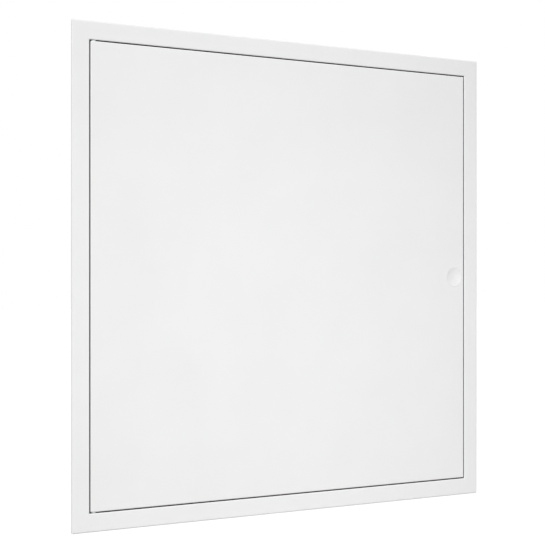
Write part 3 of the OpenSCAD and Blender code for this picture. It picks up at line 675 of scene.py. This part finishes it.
class ACCESSPANEL_OT_cleat_rivets(bpy.types.Operator):
    """Set blind rivets with a broken mandrel through the cleats"""

    bl_idname = "access_panel.cleat_rivets"
    bl_label = "Cleat rivets"

    def execute(self, context):
        """Four rivets in each cleat, each turned from one profile."""
        sizes = context.scene.access_panel_sizes
        low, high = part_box("cleat_rivets")
        depth = (low.y + high.y) / 2
        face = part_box("corner_cleat_lock_top")[1].x
        first = face - sizes.rivet_inset
        steps = np.array([first, first - sizes.rivet_pitch, sizes.rivet_pitch - first, -first])
        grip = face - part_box("stop_angle_lock_side")[1].x
        radius, height = self.profile(high.x - face, grip, sizes)
        grids = [turned(face * out + depth * Y + steps[:, None] * along, out, radius, height, columns=32)
                 for out, along in WALLS.values()]
        rivets = closed_surface("blind_rivets", np.concatenate(grids))
        dress(rivets, "frame", "zinc_plate", context.scene.access_panel_colours)
        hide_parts("cleat_rivets")
        return {"FINISHED"}

    def profile(self, head_h, grip, sizes):
        """Radius and height, from the blind bulb along the shank and over the head to the mandrel's stub.

        Above a low rim, the dome's height follows a quarter of a sine up to the hole that the mandrel
        broke in.
        """
        shank, head = sizes.rivet_d / 2, sizes.rivet_d
        hole, stub = 0.34 * sizes.rivet_d, 0.28 * sizes.rivet_d
        tail, rim = -grip - 0.9 * sizes.rivet_d, 0.2 * head_h
        bulb = [(0.45 * shank, tail), (0.8 * shank, tail + 0.1 * shank), (shank, tail + 0.4 * shank),
                (1.3 * shank, tail + 0.9 * shank), (1.5 * shank, -grip - 0.3 * shank), (1.5 * shank, -grip)]
        neck = [(shank, -grip), (shank, 0), (head, 0)]
        climb = np.linspace(0, 1, 9)
        dome = np.column_stack([
            head + climb * (hole - head), rim + (head_h - rim) * np.sin(climb * math.pi / 2)])
        mandrel = [(stub, 0.55 * head_h), (stub, 0.7 * head_h), (0.3 * stub, 0.8 * head_h)]
        return np.concatenate([bulb, neck, dome, mandrel]).T


class ACCESSPANEL_OT_pin_spring(bpy.types.Operator):
    """Wind the spring that pushes the top pivot pin out"""

    bl_idname = "access_panel.pin_spring"
    bl_label = "Pin spring"

    def execute(self, context):
        """A closed and ground coil that shortens as the pin is pulled down."""
        sizes = context.scene.access_panel_sizes
        low, high = (np.array(v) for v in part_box("pin_spring"))
        spring = closed_surface("coiled_pin_spring", self.coil(low, high, sizes))
        dress(spring, "spring_pin", "spring_steel", context.scene.access_panel_colours)
        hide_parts("pin_spring")
        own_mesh(spring)
        return {"FINISHED"}

    def coil(self, low, high, sizes):
        """Grid of a round wire on a helix.

        The path turns steadily. Its height rises by one wire a turn in the closed end turns, and evenly
        between them. Each ring is a circle square to the path, and grinding cuts the end turns flat.
        """
        rows_per_turn, columns = 40, 12
        wire_r, turns = sizes.wire_d / 2, sizes.spring_turns
        middle, coil_r = (low + high) / 2, (high[0] - low[0]) / 2 - wire_r
        turn = np.linspace(0, turns, rows_per_turn * turns + 1)
        ground_r = wire_r / 2
        first, last = low[2] + ground_r, high[2] - ground_r
        height = np.interp(turn, [0, 1, turns - 1, turns],
                           [first, first + sizes.wire_d, last - sizes.wire_d, last])
        angle = FULL_TURN * turn
        out = np.cos(angle)[:, None] * X + np.sin(angle)[:, None] * Y
        path = middle * (1, 1, 0) + coil_r * out + height[:, None] * Z
        ahead = np.gradient(path, axis=0)
        ahead /= np.linalg.norm(ahead, axis=1, keepdims=True)
        over = np.cross(ahead, out)
        around = np.linspace(0, FULL_TURN, columns, endpoint=False)[:, None]
        spoke = np.cos(around) * out[:, None] + np.sin(around) * over[:, None]
        rings = path[:, None] + wire_r * spoke
        rings[..., 2] = np.clip(rings[..., 2], low[2], high[2])
        return rings[None]


class ACCESSPANEL_OT_latch_fixings(bpy.types.Operator):
    """Cut the thread of the latch's weld studs and chamfer their nuts"""

    bl_idname = "access_panel.latch_fixings"
    bl_label = "Latch studs and nuts"

    def execute(self, context):
        """Two studs and two nuts."""
        sizes = context.scene.access_panel_sizes
        colours = context.scene.access_panel_colours
        low, high = (np.array(v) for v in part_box("latch_studs"))
        stud_r = (high[0] - low[0]) / 2
        middle = (low[0] + high[0]) / 2
        axes = np.array([middle * X + z * Z for z in (low[2] + stud_r, high[2] - stud_r)])
        studs = closed_surface("threaded_studs", self.threads(axes, low[1], high[1], stud_r, sizes))
        dress(studs, "door", "zinc_plate", colours)
        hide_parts("latch_studs")
        low, high = (np.array(v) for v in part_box("latch_nuts"))
        hexagons = self.hexagons(axes, low[1], high[1], stud_r, sizes)
        nuts = closed_surface("chamfered_nuts", hexagons, ring=True)
        dress(nuts, "door", "zinc_plate", colours)
        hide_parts("latch_nuts")
        return {"FINISHED"}

    def threads(self, axes, base, tip, stud_r, sizes):
        """Grids of threaded rods: the radius is a triangle wave of height less angle, with a coned tip.

        The wave is drawn steeper than it fits and clipped, which leaves flat roots and crests.
        """
        columns, rows_per_turn, depth = 36, 12, 0.61 * sizes.thread_pitch
        steepness, root = 1.25, 0.1
        height = np.linspace(base, tip, int((tip - base) / sizes.thread_pitch * rows_per_turn))
        angle = np.linspace(0, FULL_TURN, columns, endpoint=False)
        phase = (height[:, None] / sizes.thread_pitch - angle / FULL_TURN) % 1
        ridge = np.clip(steepness * np.abs(2 * phase - 1) - root, 0, 1)
        cone = stud_r - depth + (tip - height)[:, None]
        radius = np.minimum(stud_r - depth * (1 - ridge), cone)
        return turned(axes, Y, radius, height, columns)

    def hexagons(self, axes, base, top, stud_r, sizes):
        """Grids of nuts: six flats round a countersunk bore, cut back at both ends by a 30 degree cone.

        A flat's distance from the axis is half the width across flats over the cosine of the angle from
        the middle of the flat.
        """
        columns, chamfer_rows, sixth = 72, 6, FULL_TURN / 6
        half, sink = sizes.nut_af / 2, 0.2 * stud_r
        face, chamfer_h = 0.97 * half, 0.13 * sizes.nut_af
        angle = np.linspace(0, FULL_TURN, columns, endpoint=False)
        flats = half / np.cos((angle + sixth / 2) % sixth - sixth / 2)
        rise = np.linspace(0, chamfer_h, chamfer_rows)
        side = np.minimum(flats, face + rise[:, None] / math.tan(math.radians(30)))
        bore = np.array([0.9, 0.9, 1.1])[:, None] * stud_r * np.ones(columns)
        radius = np.concatenate([bore[1:], side, side[::-1], bore[::-1][:2]])
        height = np.concatenate([[base + sink, base], base + rise, top - rise[::-1], [top, top - sink]])
        return turned(axes, Y, radius, height, columns)


STEPS = (
    ACCESSPANEL_OT_stage,
    ACCESSPANEL_OT_finishes,
    ACCESSPANEL_OT_weld_beads,
    ACCESSPANEL_OT_spot_welds,
    ACCESSPANEL_OT_cleat_rivets,
    ACCESSPANEL_OT_pin_spring,
    ACCESSPANEL_OT_latch_fixings,
)
GROUPS = {
    "access_panel_sizes": PanelSizes,
    "access_panel_colours": PanelColours,
    "access_panel_studio": PanelStudio,
}


class VIEW3D_PT_access_panel(bpy.types.Panel):
    """Lists the panel's steps and settings"""

    bl_label = "Ceiling Access Panel"
    bl_space_type = "VIEW_3D"
    bl_region_type = "UI"
    bl_category = "Access Panel"

    def draw(self, context):
        """One button for each step, then every setting."""
        for step in STEPS:
            self.layout.operator(step.bl_idname)
        for name, group in GROUPS.items():
            box = self.layout.box()
            for setting in group.__annotations__:
                box.prop(getattr(context.scene, name), setting)


CLASSES = (*GROUPS.values(), *STEPS, VIEW3D_PT_access_panel)


def register():
    """Adds the classes and hangs the settings on the scene."""
    for cls in CLASSES:
        bpy.utils.register_class(cls)
    for name, group in GROUPS.items():
        setattr(bpy.types.Scene, name, bpy.props.PointerProperty(type=group))


def unregister():
    """Takes the settings and the classes away again."""
    for name in GROUPS:
        delattr(bpy.types.Scene, name)
    for cls in reversed(CLASSES):
        bpy.utils.unregister_class(cls)


def main():
    """Runs every step in order."""
    register()
    bpy.ops.access_panel.stage()
    bpy.ops.access_panel.finishes()
    bpy.ops.access_panel.weld_beads()
    bpy.ops.access_panel.spot_welds()
    bpy.ops.access_panel.cleat_rivets()
    bpy.ops.access_panel.pin_spring()
    bpy.ops.access_panel.latch_fixings()


if __name__ == "__main__":
    main()
